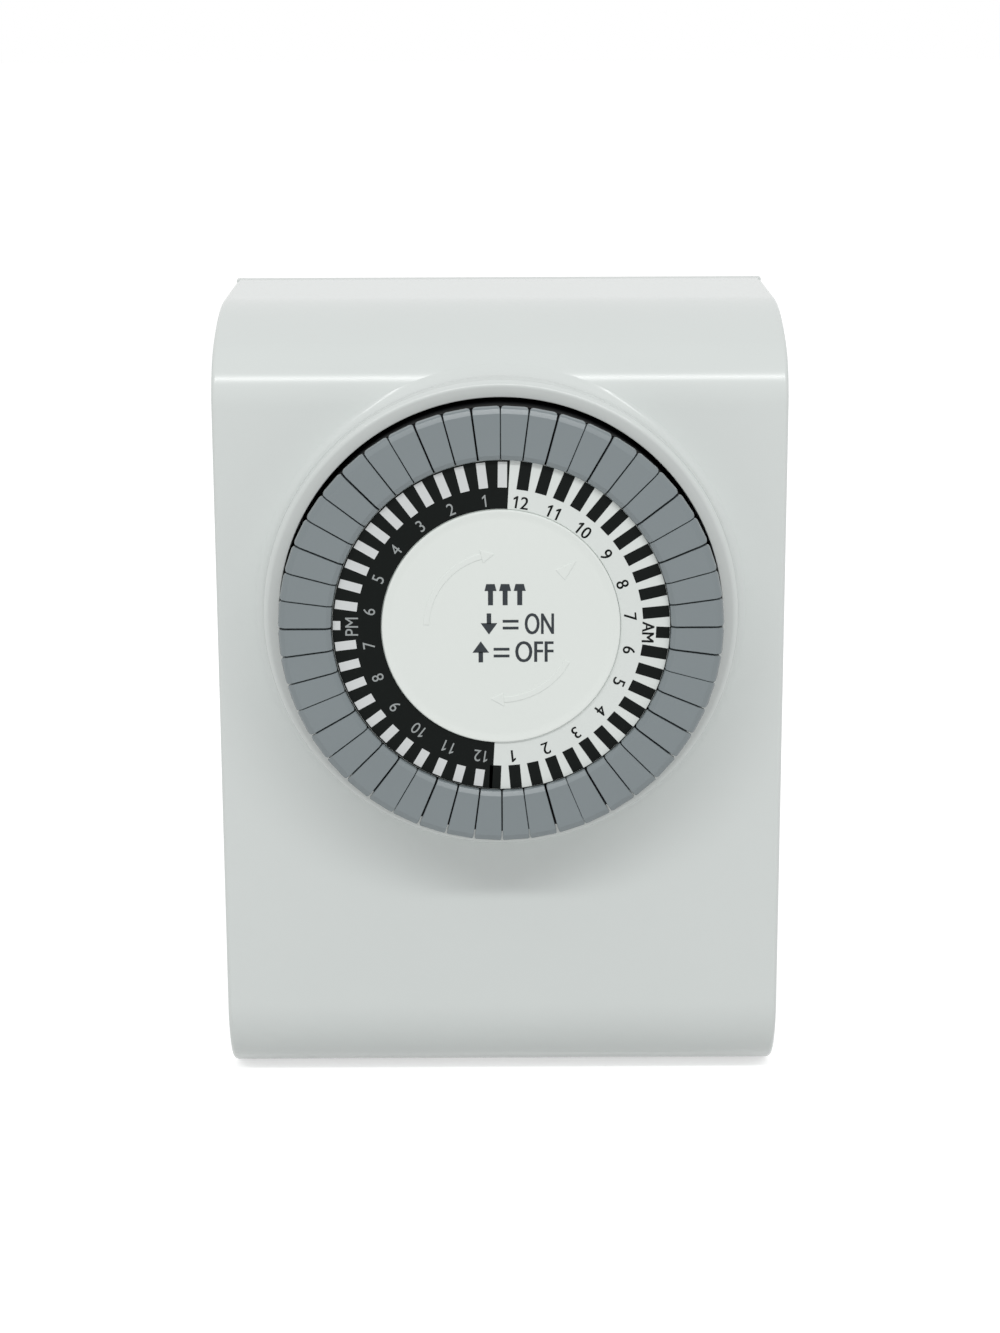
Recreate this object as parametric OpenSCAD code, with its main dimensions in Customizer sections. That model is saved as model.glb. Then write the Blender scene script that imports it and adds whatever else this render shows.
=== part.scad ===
// Plug in timer switch with a 48 pin, 24 hour dial.
// Millimetres. X to the right, Z up, the front faces -Y.
// The origin is on the wall face, midway between the two plug blades.
// Most pieces are drawn in the front view: x right, y up, z = distance forward of the wall face.

/* [Housing] */
// Width of the housing
body_w = 70; // [66:0.5:80]
// Height of the housing
body_h = 98.5; // [96:0.5:110]
// Depth from the wall face to the front face
body_d = 42.5; // [42.5:0.25:46]
// Radius of the long edge at the top front
top_round = 8.5; // [7:0.5:9]
// Radius of the shallow crown behind that edge
top_crown = 35; // [30:1:40]
// Radius of the long edge at the bottom front
bottom_round = 11; // [8:0.5:13]
// Wall of the front shell
wall = 2; // [1.6:0.1:2.4]
// Thickness of the back cover
cover_t = 2.2; // [2:0.1:2.4]
// Height of the plug blades above the bottom of the housing
plug_height = 68; // [66.5:0.25:69]
// Distance of the dial's centre below the top of the housing
dial_drop = 36; // [35.5:0.25:36.5]

/* [Turret] */
// Clearance between the drum and the raised ring
ring_gap = 0.6; // [0.5:0.1:1]
// Wall of the raised ring
ring_wall = 2; // [1.5:0.1:2.2]
// Height of the raised ring above the front face
ring_h = 4; // [3:0.25:4.5]
// Radius of the fillet at the foot of the ring
ring_fillet = 1.3; // [1:0.1:1.5]

/* [Dial] */
// Outer radius of the drum
drum_r = 26.4; // [26:0.1:26.5]
// Drum wall outside the pin slots
drum_wall = 0.4; // [0.3:0.05:0.5]
// Height of the drum rim above the raised ring
drum_proud = 2.7; // [2.2:0.1:3]
// Depth of the drum behind its web
drum_skirt = 9.9; // [9.5:0.1:10]
// Width of the printed scale that shows round the centre cap
band_w = 5.8; // [5:0.1:6.5]
// Thickness of the printed scale
scale_t = 0.5; // [0.3:0.1:0.8]
// Height of the centre cap above the printed scale
cap_proud = 0.8; // [0.4:0.1:1]
// Radius of the dial's axle
axle_r = 2.5; // [2:0.1:3]

/* [Pins] */
// Overhang of a pin's head beyond the drum
pin_over = 0.1; // [0.05:0.05:0.2]
// Radial length of a pin's head
head_l = 5.95; // [5.8:0.05:6.2]
// Gap between neighbouring pin heads
pin_gap = 0.26; // [0.2:0.02:0.4]
// Thickness of a pin's head
pin_head_t = 0.95; // [0.8:0.05:1.2]
// Radius of a head's outer corners
pin_corner = 0.6; // [0.3:0.1:0.8]
// Travel of a pin when it is pressed
pin_travel = 2.2; // [1.8:0.1:2.4]
// Width of a pin's stem
stem_w = 1.7; // [1.4:0.1:1.8]

/* [Gears] */
// Gear module
gear_m = 0.6; // [0.6:0.005:0.61]
// Teeth on the dial's gear
dial_teeth = 42; // [40:1:43]
// Teeth on the idler's large wheel
idler_teeth = 30; // [28:1:30]
// Thickness of a gear
gear_t = 1.9; // [1.6:0.1:1.9]

/* [Motor] */
// Outer radius of the motor's case
motor_r = 13.5; // [13:0.1:13.6]
// Depth of the motor's case
motor_d = 15.4; // [15:0.1:16]
// Wall of the motor's case
motor_wall = 0.6; // [0.4:0.1:0.8]
// Radius of the rotor
rotor_r = 6.6; // [6:0.1:6.8]

/* [Chassis] */
// Thickness of the chassis plate
plate_t = 1.6; // [1.4:0.1:1.8]
// Distance from the plate's back to the front face
plate_depth = 12.5; // [12.4:0.1:12.7]
// Radius of a plate boss
plate_boss_r = 2.5; // [2.2:0.1:2.8]
// Radius of a housing screw boss
boss_r = 3.2; // [3:0.1:3.4]

/* [Plug and outlet] */
// Distance between the two blades, centre to centre
blade_pitch = 12.7; // [12.6:0.05:12.8]
// Thickness of a blade
blade_t = 1.5; // [1.4:0.05:1.6]
// Width of the line blade
line_w = 6.35; // [6.2:0.05:6.5]
// Width of the neutral blade
neutral_w = 7.9; // [7.8:0.05:8]
// Length of a blade beyond the wall face
blade_l = 17.5; // [16:0.1:18]
// Radius of the ground pin
ground_r = 2.38; // [2.3:0.01:2.45]
// Length of the ground pin beyond the wall face
ground_l = 21; // [20:0.1:22]
// Distance of the ground pin below the blades
ground_drop = 11.9; // [11.8:0.05:12]
// Radius of the outlet's ground hole
outlet_hole_r = 2.6; // [2.55:0.01:2.65]
// Distance of the outlet's centre line behind the chassis plate
outlet_behind = 9; // [8.5:0.25:9.5]
// Height of the outlet's slots above the bottom of the housing
outlet_height = 28; // [27.8:0.1:28.5]

/* [Switch] */
// Distance of the lever's follower in from the edge of the drum
follower_in = 2.4; // [2.2:0.1:2.6]
// Distance from the lever's axle to its follower
follower_arm = 7.5; // [7:0.25:8]
// Swing of the switch lever, in degrees
lever_swing = 5; // [3:0.5:6]
// Distance from the lever's axle to the contact
contact_arm = 12; // [11.5:0.5:12.5]
// Radius of the lever's axle
lever_axle_r = 1; // [0.8:0.05:1.1]
// Travel of the override slider
slider_travel = 4; // [3:0.5:5]
// Height of the override knob beyond the side wall
knob_proud = 1.5; // [1:0.1:1.7]

/* [Clearances] */
// Radial clearance of a running fit
run_gap = 0.05; // [0.02:0.01:0.08]
// Clearance between parts that are pressed together
press_gap = 0.02; // [0.01:0.01:0.04]
// Clearance round a pin's stem
slot_gap = 0.1; // [0.06:0.02:0.14]
// Clearance between parts that move past each other
pass_gap = 0.3; // [0.25:0.05:0.4]

/* [Hidden] */
$fn = 64;
eps = 0.01;
HOURS = 24;
hour_names = [for (i = [1 : HOURS]) str("hour_pins_", i < 10 ? "0" : "", i)];

// Heights, from the blades' level
bottom_y = -plug_height;
top_y = bottom_y + body_h;
dial_y = top_y - dial_drop;

// The front edge's round turns this far, in degrees, before the crown takes over
crown_from = 64;
crown_drop = top_crown * (1 - sin(crown_from));
round_y = top_y - crown_drop - top_round * sin(crown_from);
crown_centre = [body_d - top_round, round_y] - (top_crown - top_round) * [cos(crown_from), sin(crown_from)];
outlet_v = bottom_y + outlet_height;

// Radii round the dial's centre, from the drum inwards and outwards
ring_in = drum_r + ring_gap;
pin_out = drum_r + pin_over;
head_in = pin_out - head_l;
scale_r = head_in - 0.25;
cap_r = scale_r - band_w;
slot_in = scale_r + 0.6;
slot_out = drum_r - drum_wall;

// Distances forward of the wall face, from the front of the dial backwards
ring_top = body_d + ring_h;
drum_top = ring_top + drum_proud;
head_bottom = drum_top + pin_travel + slot_gap;
head_top = head_bottom + pin_head_t;
scale_top = head_top - 1;
platform_top = scale_top - scale_t;
cap_top = scale_top + cap_proud;
cap_t = 1.3;
web_top = platform_top - 3.5;
web_t = 2;
drum_back = web_top - drum_skirt;

// Chassis, gears
plate_back = body_d - plate_depth;
plate_front = plate_back + plate_t;
gear_gap = 0.4;
low_gear = plate_front + gear_gap;
high_gear = low_gear + gear_t + gear_gap;
high_gear_t = drum_back - 0.6 - high_gear;
hub_r = 5;
hub_back = high_gear - pass_gap;
pinion_teeth = 12;
idler_dist = gear_m * (dial_teeth + pinion_teeth) / 2;
motor_dist = gear_m * (idler_teeth + pinion_teeth) / 2;
idler_y = dial_y + idler_dist;
motor_x = -motor_dist;
idler_axle_r = 1.2;

// Housing
inner_w = body_w / 2 - wall;
boss_sink = 0.5;
boss_x = inner_w - boss_r + boss_sink;
boss_top = top_y - wall - boss_r + boss_sink;
boss_bottom = bottom_y + wall + boss_r - boss_sink;
boss_front = body_d - 12.5;
high_boss = [inner_w - 4.5, top_y - 11.7];
low_boss = [22, dial_y - 28];
plate_boss = [for (b = [high_boss, low_boss], s = [-1, 1]) [s * b[0], b[1]]];
plate_margin = 3;
lip_gap = 0.15;
lip_t = 1.2;
lip_d = 2;

// Screws: shank radius, head radius
screw_r = 1.4;
screw_head_r = 2.6;
small_screw_r = 1;
small_head_r = 2;
screw_grip = 6;

// Motor
motor_front = plate_back;
motor_cover_t = 0.6;
motor_back = motor_front - motor_cover_t - motor_d;
cassette_t = 4.7;
rotor_axle_r = 0.8;
output_r = 1;
motor_ear = motor_r + 3;

// Lever: its axle lies across the chassis below the drum
follower_r = drum_r - follower_in;
lever_y = dial_y - follower_r - follower_arm;
lever_z = plate_front + 3.4;
lever_half = 3;
ear_gap = 0.2;
ear_t = 1.5;
lever_cover = 3;
pin_end = drum_back - pin_travel;
strip_t = 0.6;
strip_back = lever_z - 0.4;
rivet_r = 1.5;
rivet_t = 0.6;
contact_y = lever_y - contact_arm;
moving_face = strip_back + strip_t + rivet_t;
contact_open = (contact_arm + rivet_r) * sin(lever_swing) + 0.1;
fixed_face = moving_face + contact_open;

// Conductors
bar_t = 0.5;
bar_w = 2.5;
wiper_drop = lever_cover + bar_w + 0.5;
outlet_y = plate_back - outlet_behind;
shoulder_t = 1.2;
shoulder_front = cover_t + shoulder_t;
bar_step = (motor_back - shoulder_front) / 4;
ground_level = shoulder_front + bar_step;
line_level = ground_level + bar_step;
neutral_level = line_level + bar_step;
lead_v = idler_y - 9.2;
lead_drop = 4;
blade_x = blade_pitch / 2;
line_outlet = outlet_y - blade_pitch / 2;
neutral_outlet = outlet_y + blade_pitch / 2;
ground_outlet_v = outlet_v - ground_drop;
socket_in = inner_w - 19;
face_in = inner_w - 4.5;
tine_gap = 0.85;

// Outlet face, as depth and height either side of the slots
outlet_half = 12;
outlet_up = 7.6;
outlet_down = ground_drop + 6.5;
flange = 1.5;

// Override slider
slider_v = outlet_v - 6;
knob_half = 3;
neck_half = 2;
slot_half = neck_half + pass_gap;

// ---- helpers ----

// Front view: x right, y up, z forward of the wall face
module front_view() {
    rotate([90, 0, 0]) children();
}

// A box between two corners in the front view
module block(a, b) {
    translate(a) cube(b - a);
}

// A disc or tube along the view's z axis
module post(x, y, z0, z1, r) {
    translate([x, y, z0]) cylinder(h = z1 - z0, r = r);
}

// A rod across the view, along x
module rod(x0, x1, y, z, r) {
    translate([x0, y, z]) rotate([0, 90, 0]) cylinder(h = x1 - x0, r = r);
}

function arc(c, r, a0, a1, n) = [
    for (i = [0 : n]) c + r * [cos(a0 + (a1 - a0) * i / n), sin(a0 + (a1 - a0) * i / n)]
];

// Side outline of the housing as [forward, up], drawn in by an inset
function side_outline(inset, back) = concat(
    [[back, bottom_y + inset]],
    arc([body_d - bottom_round, bottom_y + bottom_round], bottom_round - inset, -90, 0, 16),
    arc([body_d - top_round, round_y], top_round - inset, 0, crown_from, 12),
    arc(crown_centre, top_crown - inset, crown_from + 3, 90, 7),
    [[back, top_y - inset]]
);

// The side outline made solid across the width
module housing_solid(inset, back, half) {
    rotate([0, -90, 0])
        linear_extrude(height = 2 * half, center = true)
            polygon(side_outline(inset, back));
}

// Half the angle that one tooth takes at radius r, from the involute of the base circle
function inv(a) = tan(a) * 180 / PI - a;
function half_tooth(teeth, r) =
    let (pitch_r = gear_m * teeth / 2, base_r = pitch_r * cos(20), backlash = 0.12)
    (PI * gear_m / 2 - backlash) / (2 * pitch_r) * 180 / PI
        + inv(20) - (r > base_r ? inv(acos(base_r / r)) : 0);

// A spur gear outline with its first tooth at the given angle
module gear_outline(teeth, first) {
    pitch_r = gear_m * teeth / 2;
    tip = pitch_r + 0.75 * gear_m;
    root = pitch_r - 1.05 * gear_m;
    steps = [root, pitch_r - 0.35 * gear_m, pitch_r + 0.2 * gear_m, tip];
    polygon([
        for (i = [0 : teeth - 1])
            let (a = first + 360 * i / teeth)
            each concat(
                [for (r = steps) r * [cos(a - half_tooth(teeth, r)), sin(a - half_tooth(teeth, r))]],
                [for (k = [3 : -1 : 0])
                    steps[k] * [cos(a + half_tooth(teeth, steps[k])), sin(a + half_tooth(teeth, steps[k]))]]
            )
    ]);
}

module gear(x, y, z, t, teeth, first) {
    translate([x, y, z]) linear_extrude(height = t) gear_outline(teeth, first);
}

// A screw along the view's z axis, head towards the wall
module screw(x, y, z, head_r, head_t, r, length) {
    post(x, y, z, z + head_t, head_r);
    post(x, y, z + head_t - eps, z + head_t + length, r);
}

// ---- housing ----

// The raised ring's section, as [radius, forward], with its foot fillet and rounded lip
module ring_section() {
    out = ring_in + ring_wall;
    lip = 0.8;
    // Below the face where the top round falls away from the ring
    root = body_d - 2.4;
    polygon(concat(
        [[ring_in - 1, root], [out + ring_fillet * 0.86, root]],
        arc([out + ring_fillet, body_d + ring_fillet], ring_fillet, 262, 185, 8),
        arc([out - lip, ring_top - lip], lip, 3, 87, 5),
        [[ring_in - 1, ring_top]]
    ));
}

module front_shell() {
    color("#d6dbd9") front_view() difference() {
        union() {
            difference() {
                housing_solid(0, cover_t, body_w / 2);
                housing_solid(wall, cover_t - 1, inner_w);
            }
            translate([0, dial_y, 0]) rotate_extrude($fn = 128) ring_section();
            for (x = [-boss_x, boss_x]) {
                post(x, boss_top, cover_t, boss_front, boss_r);
                post(x, boss_bottom, cover_t, boss_front, boss_r);
            }
            for (p = plate_boss) post(p[0], p[1], plate_front, body_d - wall / 2, plate_boss_r);
        }
        post(0, dial_y, body_d - 2 * wall, ring_top + 1, ring_in);
        for (x = [-boss_x, boss_x], y = [boss_top, boss_bottom])
            post(x, y, cover_t - 1, cover_t + 11, screw_r + press_gap);
        for (p = plate_boss)
            post(p[0], p[1], plate_front - 1, plate_front + 7, small_screw_r + press_gap);
        // Opening for the outlet in the right wall
        block(
            [inner_w - 1, outlet_v - outlet_down, outlet_y - outlet_half],
            [body_w / 2 + 1, outlet_v + outlet_up, outlet_y + outlet_half]
        );
        // Slot for the override slider in the left wall
        block(
            [-body_w / 2 - 1, slider_v - slot_half - slider_travel, outlet_y - slot_half],
            [-inner_w + 1, slider_v + slot_half, outlet_y + slot_half]
        );
    }
}

module back_cover() {
    lip_out = inner_w - lip_gap;
    lip_top = top_y - wall - lip_gap;
    lip_bottom = bottom_y + wall + lip_gap;
    color("#cfd4d2") front_view() difference() {
        union() {
            block([-body_w / 2, bottom_y, 0], [body_w / 2, top_y, cover_t]);
            // The side lips stop above the outlet and below the top bosses
            for (x = [-lip_out, lip_out - lip_t])
                block(
                    [x, outlet_v + outlet_up + flange + 1, cover_t - eps],
                    [x + lip_t, boss_top - boss_r - 1, cover_t + lip_d]
                );
            block([-24, lip_top - lip_t, cover_t - eps], [24, lip_top, cover_t + lip_d]);
            block([-24, lip_bottom, cover_t - eps], [24, lip_bottom + lip_t, cover_t + lip_d]);
        }
        for (x = [-boss_x, boss_x], y = [boss_top, boss_bottom]) {
            post(x, y, -1, 1.4, screw_head_r + pass_gap);
            post(x, y, -1, cover_t + 1, screw_r + 2 * slot_gap);
        }
        blade_slot(-blade_x, neutral_w);
        blade_slot(blade_x, line_w);
        post(0, -ground_drop, -1, cover_t + 1, ground_r + run_gap);
    }
}

module blade_slot(x, w) {
    translate([x, 0, cover_t / 2])
        cube([blade_t + 2 * slot_gap, w + 2 * slot_gap, cover_t + 2], center = true);
}

module outlet_face() {
    color("#cfd4d2") front_view() difference() {
        union() {
            block(
                [face_in, outlet_v - outlet_down + slot_gap, outlet_y - outlet_half + slot_gap],
                [body_w / 2, outlet_v + outlet_up - slot_gap, outlet_y + outlet_half - slot_gap]
            );
            block(
                [inner_w - flange, outlet_v - outlet_down - flange, outlet_y - outlet_half - flange],
                [inner_w, outlet_v + outlet_up + flange, outlet_y + outlet_half + flange]
            );
        }
        outlet_slot(line_outlet, line_w);
        outlet_slot(neutral_outlet, neutral_w);
        rod(face_in - 1, body_w / 2 + 1, ground_outlet_v, outlet_y, outlet_hole_r);
    }
}

module outlet_slot(z, w) {
    clear = 0.7;
    block(
        [face_in - 1, outlet_v - (w + clear) / 2, z - (blade_t + clear) / 2],
        [body_w / 2 + 1, outlet_v + (w + clear) / 2, z + (blade_t + clear) / 2]
    );
}

module housing_screws() {
    color("silver") front_view()
        for (x = [-boss_x, boss_x], y = [boss_top, boss_bottom])
            difference() {
                screw(x, y, 0.2, screw_head_r, 1.2, screw_r, 10);
                for (a = [0, 90])
                    translate([x, y, 0.2]) rotate([0, 0, a]) cube([3, 0.6, 1.2], center = true);
            }
}

// ---- plug ----

module blade(x, w, level) {
    front_view() difference() {
        union() {
            block([x - blade_t / 2, -w / 2, -blade_l + 1.6], [x + blade_t / 2, w / 2, level]);
            // The tip narrows
            translate([x, 0, -blade_l]) rotate([0, -90, 0]) linear_extrude(height = blade_t, center = true)
                polygon([[0, -w / 2 + 1.2], [1.6, -w / 2], [1.6, w / 2], [0, w / 2 - 1.2]]);
            // Shoulders lock the blade behind the cover
            block([x - 2.2, -w / 2 - 1, cover_t], [x + 2.2, w / 2 + 1, shoulder_front]);
        }
        // Locking hole
        rod(x - blade_t, x + blade_t, 0, -blade_l + 5.6, 1.6);
    }
}

module neutral_blade() {
    color("#d9c27a") blade(-blade_x, neutral_w, neutral_level);
}

module line_blade() {
    color("#d9c27a") blade(blade_x, line_w, line_level);
}

module ground_pin() {
    nose = 1.6;
    neck = ground_r - pass_gap;
    color("#d9c27a") front_view() translate([0, -ground_drop, 0]) rotate_extrude() polygon(concat(
        [[0, -ground_l]],
        arc([ground_r - nose, nose - ground_l], nose, 270, 360, 8),
        [[ground_r, 0], [neck, 0], [neck, cover_t], [4, cover_t], [4, shoulder_front]],
        [[neck, shoulder_front], [neck, ground_level], [0, ground_level]]
    ));
}

// ---- outlet contacts and bars ----

// Two sprung tines that grip a blade pushed in from the right
module tines(z, w) {
    for (s = [-1, 1])
        block(
            [socket_in, outlet_v - w / 2, z + s * tine_gap - (s < 0 ? bar_t : 0)],
            [face_in - slot_gap, outlet_v + w / 2, z + s * tine_gap + (s > 0 ? bar_t : 0)]
        );
    block(
        [socket_in - bar_t, outlet_v - w / 2, z - tine_gap - bar_t],
        [socket_in, outlet_v + w / 2, z + tine_gap + bar_t]
    );
}

module neutral_contact() {
    strip_v = outlet_v + 4;
    bar_x = -blade_x - blade_t / 2 - bar_w;
    color("#c9a14a") front_view() {
        tines(neutral_outlet, 7);
        block(
            [socket_in - bar_t, outlet_v, neutral_outlet - tine_gap - bar_t],
            [socket_in, strip_v + bar_w, neutral_outlet + tine_gap + bar_t]
        );
        block([socket_in - bar_t, strip_v, neutral_level], [socket_in, strip_v + bar_w, neutral_outlet]);
        block([bar_x, strip_v, neutral_level], [socket_in, strip_v + bar_w, neutral_level + bar_t]);
        block(
            [bar_x, strip_v, neutral_level],
            [bar_x + bar_w, max(3, lead_v + 1.5), neutral_level + bar_t]
        );
        block([bar_x, -3, neutral_level], [-blade_x + blade_t / 2, 3, neutral_level + bar_t]);
    }
}

module line_contact() {
    strip_v = lever_y - wiper_drop;
    foot_v = outlet_v - 3;
    wiper_back = strip_back - pass_gap - 1.4;
    // The strip forward passes beside the neutral tines
    strip_x = socket_in - 2.5;
    color("#c9a14a") front_view() {
        tines(line_outlet, 7);
        block(
            [strip_x, foot_v, line_outlet - tine_gap - bar_t],
            [socket_in, foot_v + bar_w, line_outlet + tine_gap + bar_t]
        );
        block(
            [strip_x, min(foot_v, strip_v), line_outlet - tine_gap - bar_t],
            [strip_x + bar_t, max(foot_v, strip_v) + bar_w, line_outlet + tine_gap + bar_t]
        );
        block(
            [strip_x, strip_v, line_outlet - tine_gap - bar_t],
            [strip_x + bar_t, strip_v + bar_w, wiper_back + bar_t]
        );
        block([-1.5, strip_v, wiper_back], [strip_x + bar_t, strip_v + bar_w, wiper_back + bar_t]);
        // The finger behind the moving contact
        block([-1.5, strip_v, wiper_back], [1.5, strip_v + bar_w, strip_back - pass_gap]);
    }
}

// The split sleeve is narrower than a ground pin, which springs it open
module ground_contact() {
    sleeve_in = ground_r - 0.3;
    sleeve_out = sleeve_in + 0.6;
    split = 0.6;
    strip_v = ground_outlet_v - bar_w / 2;
    color("#c9a14a") front_view() {
        difference() {
            rod(socket_in, face_in - slot_gap, ground_outlet_v, outlet_y, sleeve_out);
            rod(socket_in - 1, face_in, ground_outlet_v, outlet_y, sleeve_in);
            block(
                [socket_in + 2, ground_outlet_v, outlet_y - split / 2],
                [face_in, ground_outlet_v + 2 * sleeve_out, outlet_y + split / 2]
            );
        }
        block(
            [socket_in - bar_t, strip_v, ground_level],
            [socket_in, strip_v + bar_w, outlet_y + sleeve_out]
        );
        block([-bar_w / 2, strip_v, ground_level], [socket_in, strip_v + bar_w, ground_level + bar_t]);
        block([-bar_w / 2, strip_v, ground_level], [bar_w / 2, -ground_drop + 2, ground_level + bar_t]);
    }
}

// ---- switch ----

module fixed_contact() {
    foot_v = contact_y - 3;
    bar_x = blade_x + blade_t / 2;
    color("#c9a14a") front_view() {
        block([blade_x - blade_t / 2, -3, line_level], [bar_x + bar_w, 3, line_level + bar_t]);
        block(
            [bar_x, foot_v, line_level],
            [bar_x + bar_w, max(3, lead_v - lead_drop + 3), line_level + bar_t]
        );
        block([bar_x, foot_v, line_level], [bar_x + bar_w, foot_v + bar_t, fixed_face + rivet_t + bar_t]);
        block(
            [-2, foot_v, fixed_face + rivet_t],
            [bar_x + bar_w, contact_y + 2, fixed_face + rivet_t + bar_t]
        );
        post(0, contact_y, fixed_face, fixed_face + rivet_t + eps, rivet_r);
    }
}

module moving_contact() {
    color("#c9a14a") front_view() {
        block([-2, contact_y - 2, strip_back], [2, lever_y - 2.2, strip_back + strip_t]);
        post(0, contact_y, strip_back + strip_t - eps, moving_face, rivet_r);
    }
}

module switch_lever() {
    nub_v = dial_y - follower_r;
    color("#3c3f42") front_view() difference() {
        union() {
            rod(-lever_half, lever_half, lever_y, lever_z, 2);
            block([-2, lever_y, lever_z - 1.7], [2, nub_v + 2, lever_z - 0.7]);
            post(0, nub_v, lever_z - 0.8, pin_end - pass_gap, 1.3);
            block([-2, lever_y - 9, strip_back + strip_t], [2, lever_y, strip_back + strip_t + 1]);
        }
        rod(-lever_half - 1, lever_half + 1, lever_y, lever_z, lever_axle_r + run_gap);
    }
}

module lever_axle() {
    half = lever_half + ear_gap + ear_t;
    color("silver") front_view() rod(-half, half, lever_y, lever_z, lever_axle_r);
}

module lever_spring() {
    color("silver") front_view() {
        block([-1.2, lever_y + 3.5, plate_front], [1.2, lever_y + 12, plate_front + 0.3]);
        block([-1.2, lever_y + 6.5, plate_front], [1.2, lever_y + 7.5, plate_front + 0.6]);
    }
}

module override_slider() {
    knob_x = -body_w / 2 - knob_proud;
    skin_x = -body_w / 2 - 0.2;
    plate_x = -inner_w + 0.2;
    color("#b8bdbb") front_view() {
        // Knob outside, with grip ribs
        block(
            [knob_x + 0.4, slider_v - knob_half, outlet_y - 4],
            [skin_x, slider_v + knob_half, outlet_y + 4]
        );
        for (i = [-2 : 2])
            block(
                [knob_x, slider_v + i * 1.2 - 0.3, outlet_y - 3.4],
                [knob_x + 0.4 + eps, slider_v + i * 1.2 + 0.3, outlet_y + 3.4]
            );
        block(
            [skin_x - eps, slider_v - neck_half, outlet_y - neck_half],
            [plate_x + eps, slider_v + neck_half, outlet_y + neck_half]
        );
        block([plate_x, slider_v - 4, outlet_y - 5], [plate_x + 1.4, slider_v + 7, outlet_y + 5]);
    }
}

module override_detent() {
    leaf_x = -inner_w + 0.2 + 1.4 + pass_gap;
    color("silver") front_view() {
        block([leaf_x, slider_v - 8, outlet_y - 2], [leaf_x + 0.4, slider_v + 7, outlet_y + 2]);
        // The leaf's ends are bent out to the wall, in front of and behind the slider
        for (z = [outlet_y - 8, outlet_y + 6]) {
            block([-inner_w, slider_v - 2, z], [leaf_x + 0.4, slider_v + 2, z + 2]);
        }
        block([leaf_x, slider_v - 2, outlet_y - 8], [leaf_x + 0.4, slider_v + 2, outlet_y + 8]);
    }
}

// ---- chassis ----

module chassis_plate() {
    wide = inner_w - 2;
    narrow = low_boss[0] + plate_margin + 1;
    color("#6b7075") front_view() difference() {
        union() {
            block([-wide, low_boss[1] + 3.5, plate_back], [wide, high_boss[1] + plate_margin, plate_front]);
            block([-narrow, lever_y - lever_cover, plate_back], [narrow, low_boss[1] + 4, plate_front]);
            for (s = [-1, 1])
                translate([s * (lever_half + ear_gap + ear_t / 2), lever_y, plate_front - eps + 2.7])
                    cube([ear_t, 4, 5.4], center = true);
        }
        rod(-8, 8, lever_y, lever_z, lever_axle_r + press_gap);
        post(0, dial_y, plate_back - 1, plate_front + 1, axle_r - 0.5 + press_gap);
        post(0, idler_y, plate_back - 1, plate_front + 1, idler_axle_r + press_gap);
        post(motor_x, idler_y, plate_back - 1, plate_front + 1, 4.5);
        for (p = plate_boss) post(p[0], p[1], plate_back - 1, plate_front + 1, small_screw_r + slot_gap);
        for (s = [-1, 1])
            post(
                motor_x + s * motor_ear, idler_y, plate_back - 1, plate_front + 1,
                small_screw_r + press_gap
            );
    }
}

module plate_screws() {
    color("silver") front_view()
        for (p = plate_boss)
            screw(p[0], p[1], plate_back - 1.4, small_head_r, 1.4, small_screw_r, plate_t + screw_grip);
}

// ---- motor ----

module motor_case() {
    color("silver") front_view() {
        difference() {
            post(motor_x, idler_y, motor_back, motor_front - motor_cover_t, motor_r);
            post(motor_x, idler_y, motor_back + motor_wall, motor_front, motor_r - motor_wall);
        }
        // Rear bearing
        difference() {
            post(motor_x, idler_y, motor_back + motor_wall - eps, motor_back + motor_wall + 0.6, 2);
            post(motor_x, idler_y, motor_back + motor_wall, motor_back + 2, rotor_axle_r + run_gap);
        }
    }
}

module motor_coil() {
    color("#b06a35") front_view() difference() {
        post(motor_x, idler_y, motor_back + motor_wall, motor_front - motor_cover_t - cassette_t - 0.5,
            motor_r - motor_wall - 0.3);
        post(motor_x, idler_y, motor_back, motor_front, rotor_r + 0.8);
    }
}

module motor_rotor() {
    color("#4a4c50") front_view() {
        floor_z = motor_back + motor_wall;
        post(motor_x, idler_y, floor_z + 0.9, motor_front - motor_cover_t - cassette_t - 1, rotor_r);
        post(motor_x, idler_y, floor_z + 0.1, motor_front - motor_cover_t - 3.4, rotor_axle_r);
    }
}

module gear_cassette() {
    color("#2f3234") front_view() difference() {
        post(motor_x, idler_y, motor_front - motor_cover_t - cassette_t, motor_front - motor_cover_t,
            motor_r - motor_wall - 0.1);
        post(motor_x, idler_y, motor_back, motor_front - motor_cover_t - 3.2, rotor_axle_r + run_gap);
        post(motor_x, idler_y, motor_front - motor_cover_t - 2.6, motor_front, output_r + run_gap);
    }
}

module motor_cover() {
    color("silver") front_view() difference() {
        union() {
            post(motor_x, idler_y, motor_front - motor_cover_t, motor_front, motor_r);
            block(
                [motor_x - motor_ear, idler_y - 2.5, motor_front - motor_cover_t],
                [motor_x + motor_ear, idler_y + 2.5, motor_front]
            );
            for (s = [-1, 1])
                post(motor_x + s * motor_ear, idler_y, motor_front - motor_cover_t, motor_front, 2.51);
        }
        post(motor_x, idler_y, motor_back, motor_front + 1, output_r + run_gap);
        for (s = [-1, 1])
            post(motor_x + s * motor_ear, idler_y, motor_back, motor_front + 1, small_screw_r + slot_gap);
    }
}

module motor_screws() {
    color("silver") front_view()
        for (s = [-1, 1])
            screw(motor_x + s * motor_ear, idler_y, motor_front - motor_cover_t - 1.2, small_head_r, 1.2,
                small_screw_r, motor_cover_t + plate_t);
}

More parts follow.
